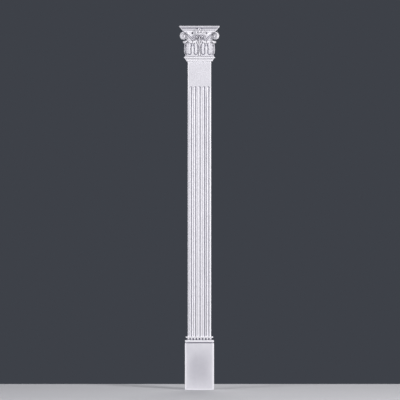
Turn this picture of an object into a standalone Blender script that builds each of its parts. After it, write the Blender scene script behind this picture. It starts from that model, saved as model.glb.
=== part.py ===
"""Corinthian pilaster in three moulded pieces: base, fluted shaft and carved capital.

Metres, +Z up. The flat back of each piece lies on the wall plane y = 0 and its face looks along -Y.
The origin is on the wall plane, on the centre line, at the underside of the base.
"""

import math

import bmesh
import bpy
import numpy as np

# Gap between two pieces that stand on each other.
JOINT_GAP = 0.0003

# Shaft: a board with round-headed flutes that run out at its foot.
SHAFT_WIDTH = 0.122
SHAFT_THICKNESS = 0.016
SHAFT_LENGTH = 1.440
SHAFT_ARRIS = 0.0015
FLUTE_COUNT = 5
FLUTE_WIDTH = 0.0156
FLUTE_DEPTH = 0.005
PLAIN_HEAD = 0.130

# Base: how far its block stands past the shaft, then its mouldings from the floor up.
BASE_SIDE_PROJECTION = 0.015
BASE_FRONT_PROJECTION = 0.011
BLOCK_HEIGHT = 0.2435
BLOCK_ARRIS = 0.004
GROOVE_HEIGHT = 0.0045
GROOVE_INSET = 0.0034
TORUS_HEIGHT = 0.0115
BAND_HEIGHT = 0.0125
BAND_INSET = 0.0105
CAP_HEIGHT = 0.006
CAP_INSET = 0.0047
BEAD_COUNT = 8
BEAD_RADIUS = 0.0061

# Capital: its overall size, and how far its foot and its bell stand past the shaft.
CAPITAL_WIDTH = 0.210
CAPITAL_DEPTH = 0.064
CAPITAL_HEIGHT = 0.183
FOOT_PROJECTION = 0.006
BELL_SIDE_PROJECTION = 0.007
BELL_FRONT_PROJECTION = 0.009
BELL_CORNER_RADIUS = 0.009

# Least arris that a rounded corner keeps, and how far a level ledge falls over its width.
LEAST_ARRIS = 0.0006
LEDGE_FALL = 0.0003

# Smoothness of round stretches.
ARRIS_SEGMENTS = 2
CORNER_SEGMENTS = 4
TORUS_SEGMENTS = 5
FLUTE_SEGMENTS = 28
NOSE_SEGMENTS = 7
LEAF_RISE_SEGMENTS = 8
LEAF_CURL_SEGMENTS = 5
LEAD_SEGMENTS = 5
SPIRAL_SEGMENTS = 20
DISC_SEGMENTS = 11

# Painted rigid foam.
PAINT_COLOUR = (0.80, 0.79, 0.83, 1.0)
PAINT_ROUGHNESS = 0.55
PAINT_METALLIC = 0.0

# What follows from the sizes above.
BASE_WIDTH = SHAFT_WIDTH + 2 * BASE_SIDE_PROJECTION
BASE_DEPTH = SHAFT_THICKNESS + BASE_FRONT_PROJECTION
BASE_HEIGHT = BLOCK_HEIGHT + GROOVE_HEIGHT + TORUS_HEIGHT + BAND_HEIGHT + CAP_HEIGHT
SHAFT_FOOT = BASE_HEIGHT + JOINT_GAP
SHAFT_HEAD = SHAFT_FOOT + SHAFT_LENGTH
CAPITAL_FOOT = SHAFT_HEAD + JOINT_GAP
BELL_HALF_WIDTH = SHAFT_WIDTH / 2 + BELL_SIDE_PROJECTION
BELL_DEPTH = SHAFT_THICKNESS + BELL_FRONT_PROJECTION

# The carving is worked out from the capital's height: H stands for it below.
H = CAPITAL_HEIGHT

# Necking: height above the capital's foot, and how far it stands past the shaft's side.
NECKING = (
    (0.000 * H, FOOT_PROJECTION),
    (0.011 * H, FOOT_PROJECTION + 0.008 * H),
    (0.049 * H, FOOT_PROJECTION + 0.025 * H),
    (0.053 * H, FOOT_PROJECTION + 0.033 * H),
    (0.088 * H, FOOT_PROJECTION + 0.060 * H),
    (0.094 * H, FOOT_PROJECTION + 0.072 * H),
    (0.108 * H, FOOT_PROJECTION + 0.080 * H),
    (0.123 * H, FOOT_PROJECTION + 0.072 * H),
    (0.131 * H, FOOT_PROJECTION + 0.049 * H),
    (0.150 * H, FOOT_PROJECTION + 0.044 * H),
)

# Abacus: how far below its top, and how far inside its edge.
ABACUS = (
    (0.170 * H, 0.128 * H),
    (0.142 * H, 0.122 * H),
    (0.137 * H, 0.101 * H),
    (0.119 * H, 0.090 * H),
    (0.112 * H, 0.074 * H),
    (0.088 * H, 0.063 * H),
    (0.082 * H, 0.056 * H),
    (0.060 * H, 0.046 * H),
    (0.055 * H, 0.034 * H),
    (0.027 * H, 0.013 * H),
    (0.010 * H, 0.000 * H),
    (0.000 * H, 0.000 * H),
)
ABACUS_HEIGHT = ABACUS[0][0]
ABACUS_LOW = CAPITAL_HEIGHT - ABACUS_HEIGHT

# Bell: straight below, then flared out to the underside of the abacus.
BELL_LOW = 0.10 * H
BELL_TURN = 0.50 * H
BELL_FLARE = 0.070 * H
BELL_RINGS = (0.0, 0.24, 0.48, 0.66, 0.80, 0.90, 1.0)
BELL_OVERLAP = 0.03 * H

# Leaves: each rises along the bell and curls over. Grooves outline two fingers with round feet,
# and a slit parts them under the curl. FINGER_PLACE is a share of the leaf's half width.
LEAF_FOOT = 0.145 * H
LEAF_TURN_HEIGHT = 0.532 * H
LEAF_BELLY = 0.064 * H
LEAF_THICKNESS = 0.026 * H
LEAF_BELLY_FOOT = 0.62
LEAF_RISE_SHARE = 0.66
LEAF_SWEEP = math.radians(205)
LEAF_COLUMNS = (0.0, 0.10, 0.25, 0.41, 0.57, 0.73, 0.88, 1.0)
LEAF_NARROWS_FROM = 0.30
LEAF_TIP_FROM = 0.70
LEAF_TIP_REACH = 0.31
LEAF_TIP_LEAST = 0.17
LEAF_EDGE_THINNING = 0.60
FRONT_LEAF_PLACE = 0.196 * H
FRONT_LEAF_HALF_WIDTH = 0.176 * H
FRONT_LEAF_CURL = 0.037 * H
FRONT_LEAF_NARROWING = 0.26
FRONT_LEAF_FOOT_SHARE = 0.86
CORNER_LEAF_HALF_WIDTH = 0.125 * H
CORNER_LEAF_CURL = 0.040 * H
CORNER_LEAF_NARROWING = 0.46
CORNER_LEAF_FOOT_SHARE = 0.50
CORNER_LEAF_SETBACK = 0.012 * H
FINGER_PLACE = 0.57
FINGER_FOOT = 0.190 * H
FINGER_RADIUS = 0.055 * H
GROOVE_WIDTH = 0.014 * H
GROOVE_DEPTH = 0.017 * H
GROOVE_LEAST_SHARE = 0.25
SLIT_DEPTH = 0.020 * H
SLIT_HALF_WIDTH = 0.09
SLIT_REACH = 0.14

# Scrolls: a band rises from its root, meets its circle and winds down to an eye on a thin web.
# The volutes hang below the abacus at its corners, the helices curl inwards beside the centre line.
SCROLL_CLOSING = 0.70
SCROLL_THINNING = 0.45
SCROLL_EASE = 0.40
SCROLL_SECTION = (
    (-1.0, 0.70),
    (-0.5, 1.00),
    (0.0, 0.50),
    (0.5, 1.00),
    (1.0, 0.70),
    (1.0, -0.90),
    (-1.0, -0.90),
)
WEB_RADIUS_SHARE = 0.66
WEB_DEPTH_SHARE = 0.22
EYE_RADIUS_SHARE = 0.24
EYE_DEPTH_SHARE = 0.52
DISC_SECTION = ((-1.0, 0.8), (-0.7, 1.0), (0.7, 1.0), (1.0, 0.8))
DISC_START = 0.37
ROOT_HEIGHT = 0.400 * H
ROOT_OUT = 0.020 * H
STALK_ROOT = 0.150 * H
STALK_FOOT = 0.600 * H
STALK_DEPTH = 0.050 * H
VOLUTE_RADIUS = 0.130 * H
VOLUTE_SEAT = 0.012 * H
VOLUTE_BAND = 0.036 * H
VOLUTE_STALK_WIDTH = 0.078 * H
VOLUTE_THICKNESS = 0.088 * H
VOLUTE_TURN = math.radians(38)
VOLUTE_START = math.radians(112)
VOLUTE_TURNS = 1.50
VOLUTE_CORNER_INSET = 0.120 * H
VOLUTE_HEIGHT = ABACUS_LOW + VOLUTE_SEAT - VOLUTE_RADIUS
HELIX_RADIUS = 0.064 * H
HELIX_BAND = 0.024 * H
HELIX_STALK_WIDTH = 0.050 * H
HELIX_THICKNESS = 0.050 * H
HELIX_START = math.radians(175)
HELIX_TURNS = 1.25
HELIX_PLACE = 0.082 * H
HELIX_OUT = 0.075 * H
HELIX_HEIGHT = VOLUTE_HEIGHT - 0.010 * H

# Stem on the centre line, and the pair of small leaves that sheathes it.
STEM_WIDTH = 0.032 * H
STEM_OUT = 0.045 * H
STRAP_SECTION = (
    (-1.0, 0.0),
    (-0.9, 0.75),
    (-0.5, 1.0),
    (0.0, 0.5),
    (0.5, 1.0),
    (0.9, 0.75),
    (1.0, 0.0),
)
SHEATH_HALF_WIDTH = 0.045 * H
SHEATH_DEPTH = 0.030 * H

# Flower on the middle of the abacus. Its petals point in degrees from the right, anticlockwise;
# their shape is the half width at shares of their length, their section is across and out.
FLOWER_HEIGHT = ABACUS_LOW + 0.012 * H
FLOWER_OUT = 0.155 * H
FLOWER_SQUAT = 0.85
FLOWER_HEART = 0.030 * H
PETAL_HALF_WIDTH = 0.038 * H
PETAL_DEPTH = 0.034 * H
PETAL_REACH = 0.125 * H
PETAL_ROOT = 0.015 * H
PETAL_DIRECTIONS = (90, 17, 163, -38, 218)
PETAL_SHAPE = ((0.0, 0.45), (0.3, 0.9), (0.6, 1.0), (0.85, 0.65), (1.0, 0.2))
PETAL_SECTION = ((-1.0, 0.0), (-0.7, 1.0), (0.0, 0.72), (0.7, 1.0), (1.0, 0.0), (0.0, -0.4))


def clear_scene():
    for item in list(bpy.data.objects):
        bpy.data.objects.remove(item, do_unlink=True)


def paint(name):
    """White satin paint over rigid foam."""
    material = bpy.data.materials.new(name)
    material.use_nodes = True
    shader = material.node_tree.nodes["Principled BSDF"]
    shader.inputs["Base Color"].default_value = PAINT_COLOUR
    shader.inputs["Roughness"].default_value = PAINT_ROUGHNESS
    shader.inputs["Metallic"].default_value = PAINT_METALLIC
    material.diffuse_color = PAINT_COLOUR
    return material


def solid(name, points, faces):
    """Object with the given closed surface, its faces turned outwards."""
    mesh = bpy.data.meshes.new(name)
    mesh.from_pydata([tuple(float(c) for c in point) for point in points], [], faces)
    work = bmesh.new()
    work.from_mesh(mesh)
    bmesh.ops.recalc_face_normals(work, faces=work.faces)
    work.to_mesh(mesh)
    work.free()
    item = bpy.data.objects.new(name, mesh)
    bpy.context.scene.collection.objects.link(item)
    return item


def rings(name, loops):
    """Solid through closed loops of equal length, capped at both ends."""
    count = len(loops[0])
    points = [point for loop in loops for point in loop]
    faces = [tuple(reversed(range(count)))]
    for level in range(len(loops) - 1):
        low = level * count
        high = low + count
        for step in range(count):
            after = (step + 1) % count
            faces.append((low + step, low + after, high + after, high + step))
    faces.append(tuple(range(len(points) - count, len(points))))
    return solid(name, points, faces)


def plan_loop(half_width, depth, radius, segments, z):
    """Half outline in plan: back on the wall, front corners rounded by arcs of the radius."""
    if radius <= 0:
        corners = [(-half_width, -depth), (half_width, -depth)]
    else:
        corners = []
        for side, start in ((-1, math.pi), (1, 1.5 * math.pi)):
            for step in range(segments + 1):
                angle = start + step / segments * math.pi / 2
                x = side * (half_width - radius) + radius * math.cos(angle)
                y = -(depth - radius) + radius * math.sin(angle)
                corners.append((x, y))
    outline = corners + [(half_width, 0.0), (-half_width, 0.0)]
    return [(x, y, z) for x, y in outline]


def moulding(name, half_width, depth, levels, radius=0.0, segments=CORNER_SEGMENTS):
    """Moulding returned round both sides: each level is a height and how far it stands out."""
    loops = []
    for z, out in levels:
        corner = max(radius + out, LEAST_ARRIS) if radius else 0.0
        loops.append(plan_loop(half_width + out, depth + out, corner, segments, z))
    return rings(name, loops)


def ball(name, centre, radius):
    """Sphere in flat facets."""
    work = bmesh.new()
    bmesh.ops.create_icosphere(work, subdivisions=2, radius=radius)
    bmesh.ops.translate(work, vec=[float(c) for c in centre], verts=work.verts)
    mesh = bpy.data.meshes.new(name)
    work.to_mesh(mesh)
    work.free()
    item = bpy.data.objects.new(name, mesh)
    bpy.context.scene.collection.objects.link(item)
    return item


def combine(target, items, operation):
    """Exact Boolean of the target with all the items, which stay in the file as hidden wires."""
    group = bpy.data.collections.new(f"{target.name}_forms")
    bpy.context.scene.collection.children.link(group)
    for item in items:
        bpy.context.scene.collection.objects.unlink(item)
        group.objects.link(item)
        item.hide_render = True
        item.display_type = "WIRE"
    modifier = target.modifiers.new(operation.lower(), "BOOLEAN")
    modifier.solver = "EXACT"
    modifier.operation = operation
    modifier.operand_type = "COLLECTION"
    modifier.collection = group


def shade(item, material, smooth_below=math.radians(35)):
    item.data.materials.append(material)
    item.data.shade_smooth()
    item.data.set_sharp_from_angle(angle=smooth_below)


def base():
    """Plinth block, groove, torus, bead band and cap fillet, with beads along the front."""
    foot_round = BLOCK_ARRIS / 2
    head_round = BLOCK_ARRIS / 4
    block_top = BLOCK_HEIGHT
    torus_low = block_top + GROOVE_HEIGHT
    band_low = torus_low + TORUS_HEIGHT
    cap_low = band_low + BAND_HEIGHT
    levels = [(0.0, -foot_round), (foot_round, 0.0), (block_top - head_round, 0.0)]
    levels += [(block_top - LEDGE_FALL, -head_round), (block_top, -GROOVE_INSET)]
    for step in range(TORUS_SEGMENTS):
        angle = step / TORUS_SEGMENTS * math.pi
        height = torus_low + TORUS_HEIGHT * (1 - math.cos(angle)) / 2
        levels.append((height, -GROOVE_INSET * (1 - math.sin(angle))))
    levels += [(band_low - LEDGE_FALL, -GROOVE_INSET), (band_low, -BAND_INSET)]
    levels += [(cap_low, -BAND_INSET), (cap_low + LEDGE_FALL, -CAP_INSET)]
    levels.append((cap_low + CAP_HEIGHT, -CAP_INSET))
    block = moulding("base", BASE_WIDTH / 2, BASE_DEPTH, levels, BLOCK_ARRIS, ARRIS_SEGMENTS)
    band_half = BASE_WIDTH / 2 - BAND_INSET
    pitch = 2 * band_half / BEAD_COUNT
    sunk = BEAD_RADIUS / 11
    beads = []
    for index in range(BEAD_COUNT):
        x = -band_half + (index + 0.5) * pitch
        centre = (x, BAND_INSET - BASE_DEPTH + sunk, band_low + BAND_HEIGHT / 2)
        beads.append(ball(f"bead_{index}", centre, BEAD_RADIUS))
    combine(block, beads, "UNION")
    shade(block, paint("white_paint_base"))
    return block


def flute_cutter(name, x):
    """Long round bar with a ball nose, whose part inside the board is the flute."""
    half = FLUTE_WIDTH / 2
    radius = (half**2 + FLUTE_DEPTH**2) / (2 * FLUTE_DEPTH)
    axis_y = FLUTE_DEPTH - SHAFT_THICKNESS - radius
    nose_z = SHAFT_HEAD - PLAIN_HEAD - half
    sections = [(SHAFT_FOOT - radius, radius)]
    for step in range(NOSE_SEGMENTS):
        angle = step / NOSE_SEGMENTS * math.pi / 2
        sections.append((nose_z + radius * math.sin(angle), radius * math.cos(angle)))
    loops = []
    for z, section_radius in sections:
        loop = []
        for step in range(FLUTE_SEGMENTS):
            angle = 2 * math.pi * (step + 0.5) / FLUTE_SEGMENTS
            px = x + section_radius * math.sin(angle)
            py = axis_y + section_radius * math.cos(angle)
            loop.append((px, py, z))
        loops.append(loop)
    return rings(name, loops)


def shaft():
    """Board with its flutes cut in, plain at the head; the lands between flutes are all equal."""
    loops = [
        plan_loop(SHAFT_WIDTH / 2, SHAFT_THICKNESS, SHAFT_ARRIS, ARRIS_SEGMENTS, z)
        for z in (SHAFT_FOOT, SHAFT_HEAD)
    ]
    board = rings("shaft", loops)
    land = (SHAFT_WIDTH - FLUTE_COUNT * FLUTE_WIDTH) / (FLUTE_COUNT + 1)
    pitch = FLUTE_WIDTH + land
    cutters = []
    for index in range(FLUTE_COUNT):
        x = (index - (FLUTE_COUNT - 1) / 2) * pitch
        cutters.append(flute_cutter(f"flute_cutter_{index}", x))
    combine(board, cutters, "DIFFERENCE")
    shade(board, paint("white_paint_shaft"))
    return board


def bell_runs():
    """Run of the bell's outline from its centre line to where the corner starts, and round it."""
    front = BELL_HALF_WIDTH - BELL_CORNER_RADIUS
    turn = (BELL_CORNER_RADIUS + LEAF_BELLY) * math.pi / 2
    return front, turn


def around(s, out):
    """Point in plan, a run s along the bell's outline from its centre line and a distance out of it."""
    front, turn = bell_runs()
    run = np.abs(s)
    angle = np.clip((run - front) / turn, 0, 1) * math.pi / 2
    radius = BELL_CORNER_RADIUS + out
    side_run = np.maximum(run - front - turn, 0)
    x = np.sign(s) * (np.minimum(run, front) + radius * np.sin(angle))
    y = side_run - (BELL_DEPTH - BELL_CORNER_RADIUS) - radius * np.cos(angle)
    return x, np.minimum(y, 0)


def leaf_path(v, curl):
    """Side view of a leaf: rises along the bell with a belly, then curls forwards and down."""
    rise = np.clip(v / LEAF_RISE_SHARE, 0, 1)
    out = LEAF_BELLY * (LEAF_BELLY_FOOT + (1 - LEAF_BELLY_FOOT) * np.sin(0.95 * math.pi * rise))
    z = LEAF_FOOT + (LEAF_TURN_HEIGHT - LEAF_FOOT) * rise
    sweep = np.clip((v - LEAF_RISE_SHARE) / (1 - LEAF_RISE_SHARE), 0, 1) * LEAF_SWEEP
    return out + curl * (1 - np.cos(sweep)), z + curl * np.sin(sweep)


def sheet(name, front, back):
    """Closed solid between two grids of points, as loops that go over one and back over the other."""
    loops = np.concatenate([front, back[:, ::-1]], axis=1)
    return rings(name, loops.tolist())


def leaf_width(v, narrowing, foot_share):
    """Half width along the leaf as a share of its largest: swells from its foot, round at its tip."""
    swell = foot_share + (1 - foot_share) * np.sin(math.pi / 2 * np.clip(2.5 * v, 0, 1))
    taper = narrowing * np.clip((v - LEAF_NARROWS_FROM) / (1 - LEAF_NARROWS_FROM), 0, 1)
    run = np.clip(v - LEAF_TIP_FROM, 0, 1) / LEAF_TIP_REACH
    tip = np.sqrt(np.clip(1 - run**2, LEAF_TIP_LEAST**2, 1))
    return (swell - taper) * tip


def leaf_hollow(u, v, z, half_width):
    """Depth of the grooves round both fingers, and of the slit that parts them under the curl."""
    below = np.maximum(FINGER_FOOT + FINGER_RADIUS - z, 0)
    reach = np.hypot((np.abs(u) - FINGER_PLACE) * half_width, below)
    groove = GROOVE_DEPTH * np.exp(-(((reach - FINGER_RADIUS) / GROOVE_WIDTH) ** 2))
    slit = SLIT_DEPTH * np.exp(-((u / SLIT_HALF_WIDTH) ** 2))
    slit = slit * np.exp(-(((v - LEAF_RISE_SHARE) / SLIT_REACH) ** 2))
    fade = np.clip((1 - v) / (1 - LEAF_RISE_SHARE), GROOVE_LEAST_SHARE, 1)
    return groove * fade + slit


def leaf(name, place, half_width, curl, narrowing, foot_share, setback):
    """Leaf as a thick sheet whose face carries the grooves and whose tip curls forwards."""
    columns = np.array(LEAF_COLUMNS)
    u = np.concatenate([-columns[:0:-1], columns])[None, :]
    rise = np.linspace(0, LEAF_RISE_SHARE, LEAF_RISE_SEGMENTS + 1)
    curled = np.linspace(LEAF_RISE_SHARE, 1, LEAF_CURL_SEGMENTS + 1)[1:]
    v = np.concatenate([rise, curled])[:, None]
    out, z = leaf_path(v, curl)
    step = 1e-3
    out_after, z_after = leaf_path(v + step, curl)
    out_before, z_before = leaf_path(v - step, curl)
    along = np.hypot(out_after - out_before, z_after - z_before)
    along = np.maximum(along, step * curl)
    normal_out = (z_after - z_before) / along
    normal_z = -(out_after - out_before) / along
    width = half_width * leaf_width(v, narrowing, foot_share)
    crown = LEAF_THICKNESS / 2 * (1 - LEAF_EDGE_THINNING * u**4)
    sides = []
    for offset in (crown - leaf_hollow(u, v, z, half_width), -crown - GROOVE_DEPTH):
        x, y = around(place + u * width, out - setback + normal_out * offset)
        height = np.broadcast_to(z + normal_z * offset, x.shape)
        sides.append(np.stack([x, y, height + CAPITAL_FOOT], axis=-1))
    return sheet(name, sides[0], sides[1])


def disc(name, centre, along, up, across, radius, half):
    """Round button with bevelled faces in the plane of along and up."""
    loops = []
    for offset, scale in DISC_SECTION:
        loop = []
        for step in range(DISC_SEGMENTS):
            angle = 2 * math.pi * (step + DISC_START) / DISC_SEGMENTS
            spoke = math.cos(angle) * along + math.sin(angle) * up
            loop.append(centre + spoke * radius * scale + across * half * offset)
        loops.append(loop)
    return rings(name, loops)


def scroll(name, root, rise, stalk_width, centre, radius, band, thickness, turn, side, start, turns):
    """Channelled band from its root into a spiral, in an upright plane turned about Z, with web and eye."""
    along = np.array([side * math.cos(turn), -math.sin(turn), 0.0])
    across = np.array([-side * math.sin(turn), -math.cos(turn), 0.0])
    up = np.array([0.0, 0.0, 1.0])
    wound = np.linspace(0, 1, SPIRAL_SEGMENTS + 1)[:, None]
    angle = start - wound * turns * 2 * math.pi
    spiral_half = band / 2 * (1 - SCROLL_THINNING * wound)
    reach = radius * (1 - SCROLL_CLOSING * wound) - spiral_half
    spiral = centre + reach * (np.cos(angle) * along + np.sin(angle) * up)
    t = np.linspace(0, 1, LEAD_SEGMENTS + 1)[:-1, None]
    span = SCROLL_EASE * np.linalg.norm(spiral[0] - root)
    leaving = root + span * rise / np.linalg.norm(rise)
    arriving = spiral[0] - span * (math.sin(start) * along - math.cos(start) * up)
    lead = (1 - t) ** 3 * root + 3 * (1 - t) ** 2 * t * leaving
    lead = lead + 3 * (1 - t) * t**2 * arriving + t**3 * spiral[0]
    path = np.concatenate([lead, spiral])
    halves = np.concatenate([(stalk_width + (band - stalk_width) * t) / 2, spiral_half])
    depths = np.concatenate([STALK_DEPTH + (thickness - STALK_DEPTH) * t, 0 * wound + thickness]) / 2
    lead_faces = (1 - t) * np.array([0.0, -1.0, 0.0]) + t * across
    faces = np.concatenate([lead_faces, 0 * wound + across])
    faces = faces / np.linalg.norm(faces, axis=1, keepdims=True)
    beside = np.cross(np.gradient(path, axis=0), faces)
    beside = beside / np.linalg.norm(beside, axis=1, keepdims=True)
    section = np.array(SCROLL_SECTION)
    loops = path[:, None] + (beside * halves)[:, None] * section[:, :1]
    loops = loops + (faces * depths)[:, None] * section[:, 1:]
    web = (radius * WEB_RADIUS_SHARE, thickness * WEB_DEPTH_SHARE)
    eye = (radius * EYE_RADIUS_SHARE, thickness * EYE_DEPTH_SHARE)
    return [
        rings(f"{name}_band", loops.tolist()),
        disc(f"{name}_web", centre, along, up, across, *web),
        disc(f"{name}_eye", centre, along, up, across, *eye),
    ]


def swept(name, points, half_widths, section):
    """Solid carried along points in front view: the section is shares of its half width and depths."""
    loops = []
    front = np.array([0.0, -1.0, 0.0])
    for index, point in enumerate(points):
        before = points[max(index - 1, 0)]
        after = points[min(index + 1, len(points) - 1)]
        run = after - before
        beside = np.array([run[2], 0.0, -run[0]])
        beside = beside / np.linalg.norm(beside)
        half = half_widths[index]
        loops.append([point + beside * half * across + front * depth for across, depth in section])
    return rings(name, loops)


def strap(name, points, width, depth):
    """Band with a channel down the middle of its face."""
    section = [(across, share * depth) for across, share in STRAP_SECTION]
    return swept(name, points, [width / 2] * len(points), section)


def petal(name, root, tip, half_width, depth):
    """Petal or small leaf: a pointed boat with a crease down its face."""
    points = [root + (tip - root) * share for share, _ in PETAL_SHAPE]
    half_widths = [half_width * wide for _, wide in PETAL_SHAPE]
    section = [(across, share * depth) for across, share in PETAL_SECTION]
    return swept(name, points, half_widths, section)


def at(x, out, height):
    """Point of the capital: across, out of the bell's front face and above the capital's foot."""
    return np.array([x, -(BELL_DEPTH + out), CAPITAL_FOOT + height])


def leaves(side, label):
    front, turn = bell_runs()
    corner = front + turn / 2
    return [
        leaf(
            f"leaf_{label}",
            side * FRONT_LEAF_PLACE,
            FRONT_LEAF_HALF_WIDTH,
            FRONT_LEAF_CURL,
            FRONT_LEAF_NARROWING,
            FRONT_LEAF_FOOT_SHARE,
            0.0,
        ),
        leaf(
            f"corner_leaf_{label}",
            side * corner,
            CORNER_LEAF_HALF_WIDTH,
            CORNER_LEAF_CURL,
            CORNER_LEAF_NARROWING,
            CORNER_LEAF_FOOT_SHARE,
            CORNER_LEAF_SETBACK,
        ),
    ]


def scrolls(side, label):
    """Corner volute and helix, which spring from one root above the front leaf."""
    inset = VOLUTE_CORNER_INSET
    x = side * (CAPITAL_WIDTH / 2 - inset)
    centre = np.array([x, inset - CAPITAL_DEPTH, CAPITAL_FOOT + VOLUTE_HEIGHT])
    root = at(side * STALK_ROOT, ROOT_OUT, STALK_FOOT)
    volute = scroll(
        f"volute_{label}",
        root,
        np.array([side, 0.0, 1.0]),
        VOLUTE_STALK_WIDTH,
        centre,
        VOLUTE_RADIUS,
        VOLUTE_BAND,
        VOLUTE_THICKNESS,
        VOLUTE_TURN,
        side,
        VOLUTE_START,
        VOLUTE_TURNS,
    )
    helix = scroll(
        f"helix_{label}",
        root,
        np.array([0.0, 0.0, 1.0]),
        HELIX_STALK_WIDTH,
        at(side * HELIX_PLACE, HELIX_OUT, HELIX_HEIGHT),
        HELIX_RADIUS,
        HELIX_BAND,
        HELIX_THICKNESS,
        0.0,
        -side,
        HELIX_START,
        HELIX_TURNS,
    )
    return volute + helix


def sheath(side, label):
    """Half of the leaf that opens between the two front leaves."""
    root = at(side * STEM_WIDTH, ROOT_OUT, ROOT_HEIGHT)
    tip = at(side * (FRONT_LEAF_PLACE - HELIX_PLACE), HELIX_OUT, LEAF_TURN_HEIGHT + HELIX_OUT)
    return [petal(f"sheath_{label}", root, tip, SHEATH_HALF_WIDTH, SHEATH_DEPTH)]


def stem():
    """Upright stem on the centre line between the helices."""
    points = [
        at(0.0, ROOT_OUT, ROOT_HEIGHT),
        at(0.0, STEM_OUT, LEAF_TURN_HEIGHT),
        at(0.0, STEM_OUT, HELIX_HEIGHT),
    ]
    return strap("stem", points, STEM_WIDTH, STALK_DEPTH)


def flower():
    """Heart and five petals, seated on the front of the abacus."""
    items = [ball("flower_heart", at(0.0, FLOWER_OUT + FLOWER_HEART / 2, FLOWER_HEIGHT), FLOWER_HEART)]
    for index, degrees in enumerate(PETAL_DIRECTIONS):
        angle = math.radians(degrees)
        x, z = math.cos(angle), math.sin(angle)
        root = at(PETAL_ROOT * x, FLOWER_OUT, FLOWER_HEIGHT + PETAL_ROOT * z)
        tip_height = FLOWER_HEIGHT + FLOWER_SQUAT * PETAL_REACH * z
        tip = at(PETAL_REACH * x, FLOWER_OUT + PETAL_ROOT * z, tip_height)
        items.append(petal(f"petal_{index}", root, tip, PETAL_HALF_WIDTH, PETAL_DEPTH))
    return items


def capital():
    """Corinthian capital: necking, bell, abacus, leaves, scrolls and the flower."""
    shaft_side = BELL_SIDE_PROJECTION
    levels = [(CAPITAL_FOOT + height, out - shaft_side) for height, out in NECKING]
    necking = moulding("capital", BELL_HALF_WIDTH, BELL_DEPTH, levels)
    bell_top = ABACUS_LOW + BELL_OVERLAP
    levels = []
    for share in BELL_RINGS:
        height = BELL_LOW + (bell_top - BELL_LOW) * share
        flare = max(height - BELL_TURN, 0.0) / (bell_top - BELL_TURN)
        levels.append((CAPITAL_FOOT + height, BELL_FLARE * flare**2))
    bell = moulding("bell", BELL_HALF_WIDTH, BELL_DEPTH, levels, BELL_CORNER_RADIUS)
    levels = [(CAPITAL_FOOT + CAPITAL_HEIGHT - below, -inset) for below, inset in ABACUS]
    abacus = moulding("abacus", CAPITAL_WIDTH / 2, CAPITAL_DEPTH, levels)
    items = [bell, abacus, stem()] + flower()
    for side, label in ((-1, "left"), (1, "right")):
        items += leaves(side, label) + scrolls(side, label) + sheath(side, label)
    combine(necking, items, "UNION")
    shade(necking, paint("white_paint_capital"))
    return necking


def main():
    clear_scene()
    base()
    shaft()
    capital()


main()
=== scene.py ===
"""White painted Corinthian pilaster: moulded base, fluted shaft and carved capital.

Everything is in metres in the frame's own axes: the wall is the plane y = 0, the room is
towards -Y and Z goes up from the underside of the base.
"""

import math

import bmesh
import bpy
import numpy as np
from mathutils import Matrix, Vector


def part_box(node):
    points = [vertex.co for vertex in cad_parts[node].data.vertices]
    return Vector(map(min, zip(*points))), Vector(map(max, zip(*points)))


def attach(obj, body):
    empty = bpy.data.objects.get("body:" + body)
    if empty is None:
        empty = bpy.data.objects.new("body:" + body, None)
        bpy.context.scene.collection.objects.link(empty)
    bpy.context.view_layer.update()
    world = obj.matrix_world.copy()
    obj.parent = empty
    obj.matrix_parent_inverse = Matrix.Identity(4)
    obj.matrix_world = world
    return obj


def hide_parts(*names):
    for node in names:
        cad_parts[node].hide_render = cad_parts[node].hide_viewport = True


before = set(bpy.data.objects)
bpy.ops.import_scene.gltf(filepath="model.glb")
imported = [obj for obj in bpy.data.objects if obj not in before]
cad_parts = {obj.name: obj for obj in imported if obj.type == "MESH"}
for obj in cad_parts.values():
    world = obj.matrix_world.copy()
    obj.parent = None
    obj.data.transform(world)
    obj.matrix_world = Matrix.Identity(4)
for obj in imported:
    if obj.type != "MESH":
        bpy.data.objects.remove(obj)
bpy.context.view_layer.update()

BASE_LOW, BASE_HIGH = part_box("base")
SHAFT_LOW, SHAFT_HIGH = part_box("shaft")
CAPITAL_LOW, CAPITAL_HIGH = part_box("capital")

# Base mouldings, from the top down, and how far each lies behind the block's face.
CAP_HEIGHT = 0.006
CAP_INSET = 0.0047
BAND_HEIGHT = 0.0125
BAND_INSET = 0.0105
TORUS_HEIGHT = 0.0115
GROOVE_HEIGHT = 0.0045
GROOVE_INSET = 0.0034
SOFTENING = 0.0005
BLOCK_ARRIS = 0.004
FACE_CROWN = 0.0006
FACE_STEPS = 40
BEAD_COUNT = 8
BEAD_RADIUS = 0.0061
BEAD_SINK = BEAD_RADIUS / 11

# Shaft.
SHAFT_ARRIS = 0.0015
FLUTE_COUNT = 5
FLUTE_WIDTH = 0.0156
FLUTE_DEPTH = 0.005
FLUTE_LIP = 0.0004
PLAIN_HEAD = 0.130

# Capital: its height H is the measure of all its carving.
H = float(CAPITAL_HIGH[2] - CAPITAL_LOW[2])
CAPITAL_FOOT = float(CAPITAL_LOW[2])
CAPITAL_HALF = float(CAPITAL_HIGH[0])
CAPITAL_DEPTH = -float(CAPITAL_LOW[1])
FOOT_PROJECTION = 0.006
BELL_SIDE_PROJECTION = 0.007
BELL_FRONT_PROJECTION = 0.009
BELL_CORNER_RADIUS = 0.009
BELL_HALF = float(SHAFT_HIGH[0]) + BELL_SIDE_PROJECTION
BELL_DEPTH = -float(SHAFT_LOW[1]) + BELL_FRONT_PROJECTION

# Meshes: edges sharper than this angle stay crisp, a mitred corner has this least radius, and a
# point lies on a front face when it is this share of the depth out.
SHARP_ANGLE = math.radians(38)
LEAST_RADIUS = 1e-4
CORNER_STEPS = 6
FRONT_SHARE = 0.9

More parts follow.
